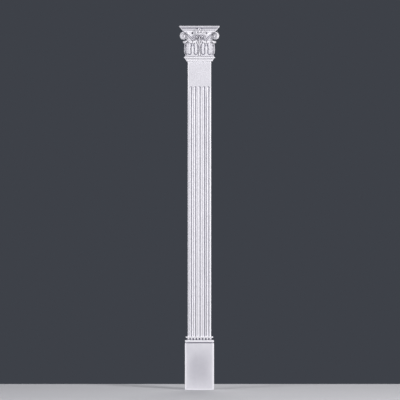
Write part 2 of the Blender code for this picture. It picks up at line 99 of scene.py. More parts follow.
# Paint: its own bright white, and a lavender grey for painted shade, with some dust, in the
# hollows.
PAINT = (0.93, 0.92, 0.95)
PAINTED_SHADE_COLOUR = (0.14, 0.135, 0.18)
PAINT_IOR = 1.48
# How fine its marks are, in marks a metre.
MOTTLE_SCALE = 14.0
SMUDGE_SCALE = 60.0
PEEL_SCALE = 620.0
GRAIN_SCALE = 2400.0
PIN_HOLE_SCALE = 210.0
# How open a point is where the painted shade of a crevice is full, and where it ends.
SHUT_IN_RANGE = (0.25, 0.95)
# Pin holes: reach of one in its cell, and the smudge values between which patches of them start.
PIN_HOLE_EDGE = (0.05, 0.16)
PIN_HOLE_PATCHES = (0.60, 0.70)
# What each mark adds to the tone, to the relief and to the roughness.
MOTTLE_TONE = 0.10
SMUDGE_TONE = 0.08
# The pin holes' tone is painted shade in their pits.
PIN_HOLE_SHADE = 0.15
PEEL_RELIEF = 0.5
GRAIN_RELIEF = 0.1
PIN_HOLE_RELIEF = 1.2
RELIEF_STRENGTH = 0.25
RELIEF_DEPTH = 0.0002
ROUGHNESS = 0.52
DUST_ROUGHNESS = 0.20
SMUDGE_ROUGHNESS = 0.14

# Painted light and shade by place, from 0 for bright to 1 for the darkest painted shade.
# Edges carry a painted highlight: width of the bright rim, and what share of the face's painted
# shade is left on it.
RIM = 0.0055
RIM_SHARE = 0.25
# Painted shade on flat faces, and on the shaft's land left of each flute.
FACE_PAINTED_SHADE = 0.34
LAND_PAINTED_SHADE = 0.75
# Painted shade under balls.
UNDERSIDE_PAINTED_SHADE = 0.2
# Least tone. Below 0, it is a painted highlight that keeps the brightest parts bright even where
# they are shut in.
PAINTED_HIGHLIGHT = -0.4
# Middle of the block's face, darkened by painted shade: its height as a share of the block's, how
# far it fades above and below, the power by which it fades sideways, and what it adds to the face's
# painted shade.
MIDDLE_HEIGHT = 0.43
MIDDLE_ABOVE = 0.50
MIDDLE_BELOW = 0.37
MIDDLE_POWER = 2.5
MIDDLE_PAINTED_SHADE = 0.21
# Painted shade in a flute, measured in half widths right of its axis: place and width of its band,
# and width and tone of the lines at its left edge and round its head.
FLUTE_SHADE_PLACE = 0.40
FLUTE_SHADE_WIDTH = 0.38
FLUTE_EDGE_WIDTH = 0.2
FLUTE_EDGE_TONE = 0.6
FLUTE_HEAD_WIDTH = 0.3
FLUTE_HEAD_TONE = 0.30

FLOOR_COLOUR = (0.60, 0.60, 0.62)
FLOOR_MOTTLE = 0.97
FLOOR_SCALE = 3.0
FLOOR_ROUGHNESS = 0.8
BACKGROUND = (0.048, 0.053, 0.065)


class Signal:
    """A value running through a material; arithmetic on it adds Math nodes."""

    def __init__(self, finish, socket):
        self.finish = finish
        self.socket = socket

    def math(self, operation, first, second):
        return self.finish.node("ShaderNodeMath", {"operation": operation}, {0: first, 1: second})

    def __add__(self, other):
        return self.math("ADD", self, other)

    __radd__ = __add__

    def __mul__(self, other):
        return self.math("MULTIPLY", self, other)

    __rmul__ = __mul__

    def __sub__(self, other):
        return self.math("SUBTRACT", self, other)

    def __rsub__(self, other):
        return self.math("SUBTRACT", other, self)


class Finish:
    """A material and the nodes added to it."""

    def __init__(self, name):
        self.material = bpy.data.materials.new(name)
        self.material.use_nodes = True
        self.tree = self.material.node_tree
        self.shader = self.tree.nodes["Principled BSDF"]

    def node(self, kind, settings=None, inputs=None, output=0):
        """Add a node: its settings first, then values or links for its sockets."""
        made = self.tree.nodes.new(kind)
        for key, value in (settings or {}).items():
            setattr(made, key, value)
        for key, value in (inputs or {}).items():
            self.feed(made.inputs[key], value)
        return Signal(self, made.outputs[output])

    def feed(self, socket, value):
        if isinstance(value, Signal):
            self.tree.links.new(value.socket, socket)
        else:
            socket.default_value = value

    def between(self, mask, low, high):
        """Colour that goes from low to high as the mask goes from 0 to 1."""
        settings = {"data_type": "RGBA", "clamp_factor": True}
        return self.node("ShaderNodeMix", settings, {0: mask, 6: low, 7: high}, output=2)

    def ramp(self, value, start, end, low, high):
        """Value that goes straight from low at start to high at end and stays there."""
        inputs = {0: value, 1: start, 2: end, 3: low, 4: high}
        return self.node("ShaderNodeMapRange", {"clamp": True}, inputs)

    def noise(self, where, scale, detail=3.0, roughness=0.5):
        inputs = {"Vector": where, "Scale": scale, "Detail": detail, "Roughness": roughness}
        return self.node("ShaderNodeTexNoise", {}, inputs)


def satin_paint(name, crevice, reach):
    """Rolled satin paint over a foam casting: mottled, with orange peel, pin holes, some dust and
    painted shade.

    The tone is the mesh's own painted light and shade, plus a crevice's painted shade by how shut
    in a point is within the reach, plus slow and fine noise. The painted shade also stands for some
    dust there, and the roughness rises with the same tone.
    """
    finish = Finish(name)
    where = finish.node("ShaderNodeTexCoord", output="Object")
    painted_light_and_shade = finish.node("ShaderNodeAttribute", {"attribute_name": "painted_light_and_shade"}, output="Fac")
    settings = {"samples": 8, "only_local": True}
    spread = {"Distance": reach}
    openness = finish.node("ShaderNodeAmbientOcclusion", settings, spread, output="AO")
    shut_in = finish.ramp(openness, *SHUT_IN_RANGE, crevice, 0.0)
    mottle = finish.noise(where, MOTTLE_SCALE, 4.0)
    smudge = finish.noise(where, SMUDGE_SCALE, 3.0, 0.6)
    peel = finish.noise(where, PEEL_SCALE, 2.0)
    grain = finish.noise(where, GRAIN_SCALE, 1.0)
    cells = {"Vector": where, "Scale": PIN_HOLE_SCALE}
    pits = finish.node("ShaderNodeTexVoronoi", {"feature": "F1"}, cells)
    patches = finish.ramp(smudge, *PIN_HOLE_PATCHES, 0.0, 1.0)
    pin_holes = finish.ramp(pits, *PIN_HOLE_EDGE, 1.0, 0.0) * patches
    painted_shade_and_dust = painted_light_and_shade + shut_in
    shade = painted_shade_and_dust + (mottle - 0.5) * MOTTLE_TONE + (smudge - 0.5) * SMUDGE_TONE
    shade = shade + pin_holes * PIN_HOLE_SHADE
    colour = finish.between(shade, (*PAINT, 1.0), (*PAINTED_SHADE_COLOUR, 1.0))
    roughness = ROUGHNESS + painted_shade_and_dust * DUST_ROUGHNESS + (smudge - 0.5) * SMUDGE_ROUGHNESS
    relief = (peel - 0.5) * PEEL_RELIEF + (grain - 0.5) * GRAIN_RELIEF
    relief = relief - pin_holes * PIN_HOLE_RELIEF
    inputs = {"Strength": RELIEF_STRENGTH, "Distance": RELIEF_DEPTH, "Height": relief}
    finish.feed(finish.shader.inputs["Base Color"], colour)
    finish.feed(finish.shader.inputs["Roughness"], roughness)
    finish.feed(finish.shader.inputs["Normal"], finish.node("ShaderNodeBump", {}, inputs))
    finish.shader.inputs["IOR"].default_value = PAINT_IOR
    return finish.material


def pale_floor():
    """Plain pale studio floor with the faintest mottling."""
    finish = Finish("studio_floor")
    where = finish.node("ShaderNodeTexCoord", output="Object")
    low = tuple(FLOOR_MOTTLE * c for c in FLOOR_COLOUR) + (1.0,)
    colour = finish.between(finish.noise(where, FLOOR_SCALE), low, (*FLOOR_COLOUR, 1.0))
    finish.feed(finish.shader.inputs["Base Color"], colour)
    finish.shader.inputs["Roughness"].default_value = FLOOR_ROUGHNESS
    return finish.material


def tube(loops, tone):
    """Closed skin through a stack of closed loops, with a flat cap on its first and last loop.

    The points are an array of rows by columns; each quad joins two neighbouring columns of two
    neighbouring rows, and the last column joins the first. The tone is one value for all the
    points or one for each.
    """
    rows, columns = loops.shape[:2]
    index = np.arange(rows * columns).reshape(rows, columns)
    ring = np.concatenate([index, index[:, :1]], axis=1)
    quads = np.stack([ring[:-1, :-1], ring[:-1, 1:], ring[1:, 1:], ring[1:, :-1]], axis=-1)
    caps = [index[0, ::-1], index[-1]]
    tones = np.broadcast_to(np.asarray(tone, dtype=float), (rows, columns)).reshape(-1)
    return loops.reshape(-1, 3), quads.reshape(-1, 4), caps, tones


def joined(parts):
    """All the skins as one set of points, quads, caps and tones."""
    points, quads, caps, tones = [], [], [], []
    start = 0
    for part_points, part_quads, part_caps, part_tones in parts:
        points.append(part_points)
        quads.append(part_quads + start)
        caps += [cap + start for cap in part_caps]
        tones.append(part_tones)
        start += len(part_points)
    return np.concatenate(points), np.concatenate(quads), caps, np.concatenate(tones)


def piece(node, parts, material):
    """Mesh object that stands for a node: smooth quads, flat caps, and the tone as an attribute of
    painted light and shade.

    The faces are turned outwards. The angle call smooths every face, so the caps are made flat
    after it.
    """
    points, quads, caps, tones = joined(parts)
    corners = np.concatenate([quads.reshape(-1)] + caps)
    sizes = np.concatenate([np.full(len(quads), 4), [len(cap) for cap in caps]]).astype(np.int32)
    starts = np.concatenate([[0], np.cumsum(sizes)[:-1]]).astype(np.int32)
    mesh = bpy.data.meshes.new(f"painted_{node}")
    mesh.vertices.add(len(points))
    mesh.vertices.foreach_set("co", points.astype(np.float32).ravel())
    mesh.loops.add(len(corners))
    mesh.loops.foreach_set("vertex_index", corners.astype(np.int32))
    mesh.polygons.add(len(sizes))
    mesh.polygons.foreach_set("loop_start", starts)
    mesh.update(calc_edges=True)
    painted_light_and_shade = mesh.attributes.new("painted_light_and_shade", "FLOAT", "POINT")
    painted_light_and_shade.data.foreach_set("value", np.clip(tones, PAINTED_HIGHLIGHT, 1).astype(np.float32))
    work = bmesh.new()
    work.from_mesh(mesh)
    bmesh.ops.recalc_face_normals(work, faces=work.faces)
    work.to_mesh(mesh)
    work.free()
    mesh.set_sharp_from_angle(angle=SHARP_ANGLE)
    mesh.polygons.foreach_set("use_smooth", sizes == 4)
    mesh.materials.append(material)
    item = bpy.data.objects.new(f"painted_{node}", mesh)
    bpy.context.scene.collection.objects.link(item)
    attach(item, "root")
    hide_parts(node)


def arc(start, end, steps):
    """Angles from start to end."""
    return np.linspace(start, end, steps + 1)


def bell_curve(value, width):
    """Smooth bump of height one and the given half width."""
    return np.exp(-((value / width) ** 2))


def plan(half, depth, radius, front_steps=1):
    """Outline in plan as x and y: arcs of the radius at its front corners, its back on the wall."""
    radius = max(radius, LEAST_RADIUS)
    left = arc(math.pi, 1.5 * math.pi, CORNER_STEPS)
    right = arc(1.5 * math.pi, 2 * math.pi, CORNER_STEPS)
    x_left = -(half - radius) + radius * np.cos(left)
    y_left = -(depth - radius) + radius * np.sin(left)
    x_right = (half - radius) + radius * np.cos(right)
    y_right = -(depth - radius) + radius * np.sin(right)
    inner = np.linspace(RIM + radius - half, half - radius - RIM, front_steps + 1)
    x = np.concatenate([x_left, inner, x_right, [half, -half]])
    y = np.concatenate([y_left, np.full(len(inner), -depth), y_right, [0.0, 0.0]])
    return x, y


def returned(profile, half, depth, radius):
    """Moulding profile carried round the front and both sides.

    Each profile point is a height, a distance out of the outline and a painted shade; the outline
    is offset by that distance, so corners are mitred, or rounded where a radius is given. The
    painted shade falls to its rim share at both ends, a painted highlight on the edges.
    """
    loops, tones = [], []
    for z, out, tone in profile:
        corner = radius + out if radius else 0.0
        x, y = plan(half + out, depth + out, corner)
        loops.append(np.stack([x, y, np.full(len(x), z)], axis=-1))
        tones.append(np.where(np.abs(x) > half + out - corner - RIM / 2, RIM_SHARE * tone, tone))
    return tube(np.array(loops), np.array(tones))


def ball(centre, radius, rows=14, columns=24):
    """Ball: circles of cosine size stacked at sine heights, darker underneath with painted shade.
    """
    height = arc(-0.49 * math.pi, 0.49 * math.pi, rows)[:, None]
    turn = np.linspace(0, 2 * math.pi, columns, endpoint=False)[None, :]
    x = centre[0] + radius * np.cos(height) * np.cos(turn)
    y = centre[1] + radius * np.cos(height) * np.sin(turn)
    z = centre[2] + radius * np.sin(height) * np.ones_like(turn)
    tone = UNDERSIDE_PAINTED_SHADE * np.clip(-np.sin(height), 0, 1) ** 2
    return tube(np.stack([x, y, z], axis=-1), tone)


def block_face(low, high, half, depth):
    """The plinth block: rounded upright edges, softened foot and a face crowned by a hair.

    The face stands out by a power curve across it times a parabola up it, and its painted shade
    follows the same product, so the middle of the face is darker.
    """
    foot_round = BLOCK_ARRIS / 2
    head_round = BLOCK_ARRIS / 4
    foot_turn = arc(0, math.pi / 2, 5)
    head_turn = arc(0, math.pi / 2, 4)[1:]
    middle_rise = np.linspace(low + foot_round, high - head_round, FACE_STEPS)[1:]
    foot_rise = low + foot_round * (1 - np.cos(foot_turn))
    head_rise = high - head_round * (1 - np.sin(head_turn))
    rise = np.concatenate([foot_rise, middle_rise, head_rise])
    foot = -foot_round * (1 - np.sin(foot_turn))
    head = -head_round * (1 - np.cos(head_turn))
    outs = np.concatenate([foot, np.zeros(len(middle_rise)), head])
    loops, tones = [], []
    for z, out in zip(rise, outs):
        x, y = plan(half + out, depth + out, BLOCK_ARRIS + out, front_steps=FACE_STEPS)
        across = np.clip(np.abs(x) / (half - BLOCK_ARRIS - RIM), 0, 1)
        away = (z - low) / (high - low) - MIDDLE_HEIGHT
        up = away / MIDDLE_ABOVE if away > 0 else -away / MIDDLE_BELOW
        middle = (1 - across**MIDDLE_POWER) * max(1 - up**2, 0)
        front = y < -depth * FRONT_SHARE
        y = np.where(front, y + FACE_CROWN * (1 - middle), y)
        loops.append(np.stack([x, y, np.full(len(x), z)], axis=-1))
        inside = (np.abs(x) < half - BLOCK_ARRIS - RIM / 2) * (z > low + RIM)
        tones.append((FACE_PAINTED_SHADE * inside + MIDDLE_PAINTED_SHADE * middle) * front)
    return tube(np.array(loops), np.array(tones))


def base():
    """Block, groove, torus, bead band with its beads, and cap fillet."""
    half = float(BASE_HIGH[0])
    depth = -float(BASE_LOW[1])
    top = float(BASE_HIGH[2])
    cap_low = top - CAP_HEIGHT
    band_low = cap_low - BAND_HEIGHT
    torus_low = band_low - TORUS_HEIGHT
    block_high = torus_low - GROOVE_HEIGHT
    # The third value of each profile point is its painted shade: dark in the groove, on the torus's
    # lower half, on the band behind the beads and under the cap.
    profile = [
        (block_high - SOFTENING, -GROOVE_INSET, 0.8),
        (torus_low - SOFTENING, -GROOVE_INSET, 0.8),
    ]
    for a in arc(0, math.pi, 14):
        height = torus_low + TORUS_HEIGHT * (1 - math.cos(a)) / 2
        tone = 0.10 + 0.4 * max(math.cos(a), 0)
        profile.append((height, -GROOVE_INSET * (1 - math.sin(a)), tone))
    profile += [
        (band_low + SOFTENING / 2, -BAND_INSET + SOFTENING, 0.8),
        (band_low + SOFTENING, -BAND_INSET, 1.0),
        (cap_low - SOFTENING, -BAND_INSET, 1.0),
        (cap_low + SOFTENING / 2, -CAP_INSET - SOFTENING, 0.5),
        (cap_low + SOFTENING, -CAP_INSET, 0.0),
        (top - SOFTENING, -CAP_INSET, 0.0),
        (top, -CAP_INSET - SOFTENING, 0.0),
    ]
    parts = [
        block_face(float(BASE_LOW[2]), block_high, half, depth),
        returned(profile, half, depth, BLOCK_ARRIS),
    ]
    band_half = half - BAND_INSET
    band_depth = depth - BAND_INSET
    height = band_low + BAND_HEIGHT / 2
    pitch = 2 * band_half / BEAD_COUNT
    for index in range(BEAD_COUNT):
        x = -band_half + (index + 0.5) * pitch
        parts.append(ball((x, BEAD_SINK - band_depth, height), BEAD_RADIUS))
    piece("base", parts, satin_paint("base_satin_paint", 0.55, 0.012))


def shaft():
    """Board whose face sinks into five flutes.

    The sink below the face is the cap of a circle, sqrt(r * r - d * d) less its height above the
    chord, where d is the distance from the flute's axis, or from its head's centre above that.
    The painted shade is a bell curve right of each flute's axis, a narrow one at its left edge and
    one round its head, and a flat painted shade on the land to its left.
    """
    half = float(SHAFT_HIGH[0])
    depth = -float(SHAFT_LOW[1])
    low, high = float(SHAFT_LOW[2]), float(SHAFT_HIGH[2])
    chord = FLUTE_WIDTH / 2
    radius = (chord**2 + FLUTE_DEPTH**2) / (2 * FLUTE_DEPTH)
    land = (2 * half - FLUTE_COUNT * FLUTE_WIDTH) / (FLUTE_COUNT + 1)
    pitch = FLUTE_WIDTH + land
    axes = (np.arange(FLUTE_COUNT) - (FLUTE_COUNT - 1) / 2) * pitch
    lean = chord * np.sin(arc(-math.pi / 2, math.pi / 2, 26))
    lean = np.concatenate([[-chord - FLUTE_LIP], lean, [chord + FLUTE_LIP]])
    lands = axes[:-1] + pitch / 2
    stops = [axis + lean for axis in axes] + [lands, lands + land / 5]
    front = np.sort(np.concatenate([[RIM - half]] + stops + [[half - RIM]]))
    corner = arc(0, math.pi / 2, 5)
    x_left = -half + SHAFT_ARRIS * (1 - np.cos(corner))
    y_left = -depth + SHAFT_ARRIS * (1 - np.sin(corner))
    x = np.concatenate([x_left, front, -x_left[::-1], [half, -half]])
    y = np.concatenate([y_left, np.full(len(front), -depth), y_left[::-1], [0.0, 0.0]])
    nose = high - PLAIN_HEAD - chord
    nose_rise = nose + chord * np.sin(arc(0, math.pi / 2, 30)[1:])
    run = np.linspace(low + RIM, nose, 24)
    z = np.concatenate([[low], run, nose_rise, [nose + chord + FLUTE_LIP, high - RIM, high]])
    above = np.maximum(z - nose, 0)[:, None]
    beside = np.abs(x[None, :] - axes[:, None])
    offset = np.min(beside, axis=0)[None, :]
    signed = ((x - axes[np.argmin(beside, axis=0)]) / chord)[None, :]
    span = np.sqrt(np.maximum(radius**2 - offset**2 - above**2, 0))
    on_face = ((np.abs(x) < half - SHAFT_ARRIS) & (y < -depth / 2))[None, :]
    sink = np.maximum(span - (radius - FLUTE_DEPTH), 0) * on_face
    wide_x = np.broadcast_to(x, sink.shape)
    wide_z = np.broadcast_to(z[:, None], sink.shape)
    loops = np.stack([wide_x, y[None, :] + sink, wide_z], axis=-1)
    reach = np.clip(np.hypot(offset, above) / chord, 0, 1)
    band = bell_curve(signed - FLUTE_SHADE_PLACE, FLUTE_SHADE_WIDTH)
    edge = FLUTE_EDGE_TONE * bell_curve(signed + 1, FLUTE_EDGE_WIDTH)
    head = FLUTE_HEAD_TONE * bell_curve(reach - 1, FLUTE_HEAD_WIDTH) * (above > 0)
    trough = (sink > 0) * on_face * (band + edge + head)
    fluted = (z < nose)[:, None]
    inside = (np.abs(x) <= half - RIM)[None, :] * ((z > low) & (z < high))[:, None] * on_face
    flat = np.where(fluted, LAND_PAINTED_SHADE * (signed < -1), FACE_PAINTED_SHADE)
    tone = inside * flat * (sink == 0) + trough
    piece("shaft", [tube(loops, tone)], satin_paint("shaft_satin_paint", 0.0, 0.004))


# Mouldings of the capital: height, distance out past the shaft's side or in from the abacus's
# edge, both as shares of H, and painted shade. The abacus's heights are measured down from its top.
NECKING = (
    (0.000, -0.003, 0.00),
    (0.003, 0.001, 0.00),
    (0.011, 0.008, 0.00),
    (0.047, 0.024, 0.00),
    (0.050, 0.028, 0.25),
    (0.060, 0.034, 0.34),
    (0.074, 0.044, 0.30),
    (0.086, 0.058, 0.20),
    (0.091, 0.068, 0.05),
    (0.098, 0.076, 0.00),
    (0.108, 0.080, 0.00),
    (0.118, 0.077, 0.00),
    (0.125, 0.068, 0.10),
    (0.129, 0.052, 0.60),
    (0.135, 0.047, 0.55),
    (0.150, 0.044, 0.10),
)
ABACUS = (
    (0.170, 0.128, 0.30),
    (0.167, 0.124, 0.00),
    (0.143, 0.121, 0.00),
    (0.139, 0.112, 0.55),
    (0.136, 0.101, 0.60),
    (0.128, 0.095, 0.25),
    (0.119, 0.090, 0.10),
    (0.114, 0.077, 0.28),
    (0.108, 0.072, 0.22),
    (0.090, 0.064, 0.22),
    (0.086, 0.058, 0.72),
    (0.081, 0.055, 0.76),
    (0.070, 0.050, 0.68),
    (0.060, 0.046, 0.65),
    (0.056, 0.036, 0.60),
    (0.040, 0.022, 0.54),
    (0.027, 0.013, 0.40),
    (0.010, 0.001, 0.32),
    (0.002, 0.000, 0.32),
    (0.000, 0.003, 0.00),
)
ABACUS_LOW = (1 - ABACUS[0][0]) * H

# Bell. Its light painted shade fades out over the given levels. Behind the flower's foot a darker
# painted shade lies on it.
BELL_TURN = 0.50 * H
BELL_FLARE = 0.070 * H
BELL_OVERLAP = 0.03 * H
BELL_ROWS = 60
BELL_FRONT_STEPS = 110
BELL_EYES = ((0.197, 0.803), (0.112, 0.862))
BELL_EYE_RADIUS = 0.020 * H
BELL_EYE_DEPTH = 0.040 * H
BELL_QUIET_SHADE = 0.20
BELL_QUIET_TO = 0.70
BELL_QUIET_FADE = 0.10
BELL_BACKING_SHADE = 0.50
BELL_BACKING_HALF_WIDTH = 0.17 * H
BELL_BACKING_HEIGHT = 0.68 * H
BELL_BACKING_HALF_HEIGHT = 0.12 * H

# Leaves: the run up the bell, its belly and the curl.
LEAF_FOOT = 0.145 * H
LEAF_TURN_HEIGHT = 0.532 * H
LEAF_BELLY = 0.064 * H
LEAF_THICKNESS = 0.026 * H
LEAF_BELLY_FOOT = 0.62
LEAF_BELLY_SHARE = 0.95
LEAF_RISE_SHARE = 0.66
LEAF_SWEEP = math.radians(205)
# Outline of a leaf.
LEAF_SWELL_RATE = 2.5
LEAF_NARROWS_FROM = 0.30
LEAF_TIP_FROM = 0.70
LEAF_TIP_REACH = 0.31
LEAF_TIP_LEAST = 0.17
LEAF_EDGE_THINNING = 0.60
LOBE_COUNT = 7
LOBE_POWER = 0.6
LOBE_DEPTH = 0.07
FRONT_LEAF_PLACE = 0.196 * H
FRONT_LEAF = {"half_width": 0.176 * H, "curl": 0.037 * H, "narrowing": 0.26, "foot_share": 0.86}
CORNER_LEAF = {"half_width": 0.125 * H, "curl": 0.040 * H, "narrowing": 0.46, "foot_share": 0.50}
CORNER_LEAF_SETBACK = 0.012 * H
# Relief of a leaf, and the painted shade and highlights that go with it.
FINGER_PLACE = 0.57
FINGER_FOOT = 0.190 * H
FINGER_RADIUS = 0.055 * H
FINGER_RISE = 0.004 * H
VEINS_ACROSS = 6
VEIN_RISE = 0.0025 * H
VEIN_HIGHLIGHT = 0.12
LEAF_GROOVE_WIDTH = 0.014 * H
LEAF_GROOVE_DEPTH = 0.017 * H
LEAF_GROOVE_LEAST = 0.25
LEAF_GROOVE_TONE = 0.65
SLIT_DEPTH = 0.022 * H
SLIT_HALF_WIDTH = 0.10
SLIT_PLACE = 0.68
SLIT_REACH = 0.10
SLIT_TONE = 0.95
SLIT_BACK_DEPTH = 0.016 * H
SLIT_BACK_RUN = 0.06
# Spots: place across as a share of the half width, half width, height and half height.
LEAF_EYES = ((0.17, 0.013 * H, 0.450 * H, 0.017 * H), (0.30, 0.010 * H, 0.350 * H, 0.014 * H))
LEAF_EYE_DEPTH = 0.016 * H
LEAF_EYE_TONE = 0.90
LEAF_DROP = (0.13, 0.020 * H, 0.355 * H, 0.060 * H)
LEAF_DROP_RISE = 0.012 * H
LEAF_DROP_HIGHLIGHT = 0.30
# Painted shade on the leaf's lower face and on its back under the curl.
LEAF_FACE_TONE = 0.26
LEAF_FACE_FADE = 0.1
LEAF_BACK_TONE = 0.3
LEAF_BACK_FADE = 3

# Scrolls, their stalks and the stem. Their tones are painted shade in the channels, on one flank,
# on the sunk webs, down the stem's groove and on the tie; the rest of each band is a painted
# highlight.
SCROLL_CLOSING = 0.70
SCROLL_THINNING = 0.45
SCROLL_EASE = 0.40
SCROLL_WIDE_POWER = 0.8
SCROLL_DEEP_POWER = 0.5
CHANNEL_ROOT_WIDTH = 0.60
CHANNEL_WIDTH = 0.36
CHANNEL_DEPTH = 0.55
CHANNEL_FADE = 2.2
CHANNEL_LEAST_TONE = 0.40
FLANK_FROM = 0.55
FLANK_RUN = 0.3
FLANK_TONE = 0.75
WEB_RADIUS_SHARE = 0.66
WEB_DEPTH_SHARE = 0.25
EYE_RADIUS_SHARE = 0.24
EYE_DEPTH_SHARE = 0.54
BUTTON_POWER = 0.35
ROOT_HEIGHT = 0.400 * H
ROOT_OUT = 0.020 * H
STALK_ROOT = 0.150 * H
STALK_FOOT = 0.600 * H
STALK_DEPTH = 0.050 * H
VOLUTE_RADIUS = 0.130 * H
VOLUTE_SEAT = 0.012 * H
VOLUTE_BAND = 0.036 * H
VOLUTE_STALK_WIDTH = 0.078 * H
VOLUTE_THICKNESS = 0.088 * H
VOLUTE_TURN = math.radians(38)
VOLUTE_START = math.radians(112)
VOLUTE_TURNS = 1.50
VOLUTE_CORNER_INSET = 0.120 * H
VOLUTE_HEIGHT = ABACUS_LOW + VOLUTE_SEAT - VOLUTE_RADIUS
VOLUTE_WEB_TONE = 0.20
HELIX_RADIUS = 0.064 * H
HELIX_BAND = 0.024 * H
HELIX_STALK_WIDTH = 0.050 * H
HELIX_THICKNESS = 0.050 * H
HELIX_START = math.radians(175)
HELIX_TURNS = 1.25
HELIX_PLACE = 0.082 * H
HELIX_OUT = 0.075 * H
HELIX_HEIGHT = VOLUTE_HEIGHT - 0.010 * H
HELIX_WEB_TONE = 0.80
STEM_WIDTH = 0.032 * H
STEM_OUT = 0.045 * H
STEM_POWER = 0.6
STEM_GROOVE_WIDTH = 0.30
STEM_GROOVE_DEPTH = 0.3
STEM_GROOVE_TONE = 0.1
SHEATH_HALF_WIDTH = 0.045 * H
SHEATH_DEPTH = 0.030 * H
TIE_HALF_WIDTH = 0.034 * H
TIE_WIDENING = 0.5
TIE_OUT = 0.048 * H
TIE_OVERLAP = 0.06 * H
TIE_GROOVE_DEPTH = 0.006 * H
TIE_GROOVE_WIDTH = 0.25
TIE_TONE = 0.10
TIE_GROOVE_TONE = 0.4
TIE_SHADE_WIDTH = 0.3

# Flower. Its petals have painted shade underneath, at their roots and in their creases, and painted
# highlights on their edges.
FLOWER_HEIGHT = ABACUS_LOW + 0.012 * H
FLOWER_OUT = 0.155 * H
FLOWER_SQUAT = 0.85
FLOWER_HEART = 0.030 * H
PETAL_HALF_WIDTH = 0.038 * H
PETAL_DEPTH = 0.034 * H
PETAL_REACH = 0.125 * H
PETAL_ROOT = 0.015 * H
PETAL_DIRECTIONS = (90, 17, 163, -38, 218)
PETAL_UNDER_WIDTH = 0.9
PETAL_UNDER_DEPTH = 0.3
PETAL_UNDER_TONE = 0.5
PETAL_ROOT_TONE = 0.80
PETAL_EDGE_HIGHLIGHT = 0.35
CREASE_DEPTH = 0.35
CREASE_WIDTH = 0.12
CREASE_TONE = 0.95
CREASE_SHADE_WIDTH = 0.20
SEED_COUNT = 8
SEED_RADIUS = 0.008 * H


def at(x, out, height):
    """Point of the capital: across, out of the bell's front face and above the capital's foot."""
    return np.array([x, -(BELL_DEPTH + out), CAPITAL_FOOT + height])


def bell_runs():
    """Run of the bell's outline from its centre line to where the corner starts, and round it."""
    return BELL_HALF - BELL_CORNER_RADIUS, (BELL_CORNER_RADIUS + LEAF_BELLY) * math.pi / 2


def around(s, out):
    """Plan of a point a run s along the bell's outline from its centre line, and a distance out.

    The run goes straight over the front, by an arc round the corner and straight back to the wall.
    """
    front, turn = bell_runs()
    run = np.abs(s)
    angle = np.clip((run - front) / turn, 0, 1) * math.pi / 2
    radius = BELL_CORNER_RADIUS + out
    back = np.maximum(run - front - turn, 0)
    x = np.sign(s) * (np.minimum(run, front) + radius * np.sin(angle))
    y = back - (BELL_DEPTH - BELL_CORNER_RADIUS) - radius * np.cos(angle)
    return x, np.minimum(y, 0)


def leaf_path(v, curl):
    """Side view of a leaf: up the bell with a belly, a sine swell, then a circular curl out."""
    rise = np.clip(v / LEAF_RISE_SHARE, 0, 1)
    swell = np.sin(LEAF_BELLY_SHARE * math.pi * rise)
    out = LEAF_BELLY * (LEAF_BELLY_FOOT + (1 - LEAF_BELLY_FOOT) * swell)
    z = LEAF_FOOT + (LEAF_TURN_HEIGHT - LEAF_FOOT) * rise
    sweep = np.clip((v - LEAF_RISE_SHARE) / (1 - LEAF_RISE_SHARE), 0, 1) * LEAF_SWEEP
    return out + curl * (1 - np.cos(sweep)), z + curl * np.sin(sweep)


def leaf_width(v, narrowing, foot_share):
    """Half width along the leaf as a share of its largest: sine swell, straight taper, round tip.

    Small round lobes, a rectified sine of v, scallop the edge above the foot.
    """
    swell = np.sin(math.pi / 2 * np.clip(LEAF_SWELL_RATE * v, 0, 1))
    swell = foot_share + (1 - foot_share) * swell
    taper = narrowing * np.clip((v - LEAF_NARROWS_FROM) / (1 - LEAF_NARROWS_FROM), 0, 1)
    run = np.clip(v - LEAF_TIP_FROM, 0, 1) / LEAF_TIP_REACH
    tip = np.sqrt(np.clip(1 - run**2, LEAF_TIP_LEAST**2, 1))
    lobe = np.abs(np.sin(LOBE_COUNT * math.pi * v)) ** LOBE_POWER
    return (swell - taper) * tip * (1 - LOBE_DEPTH * (1 - lobe) * np.clip(4 * v - 0.4, 0, 1))


def spot(across, z, mark):
    """Mark on each side of a leaf's middle: a bell curve of the place across times one up it."""
    beside, half_width = across
    place, wide, height, tall = mark
    return bell_curve((beside - place) * half_width, wide) * bell_curve(z - height, tall)


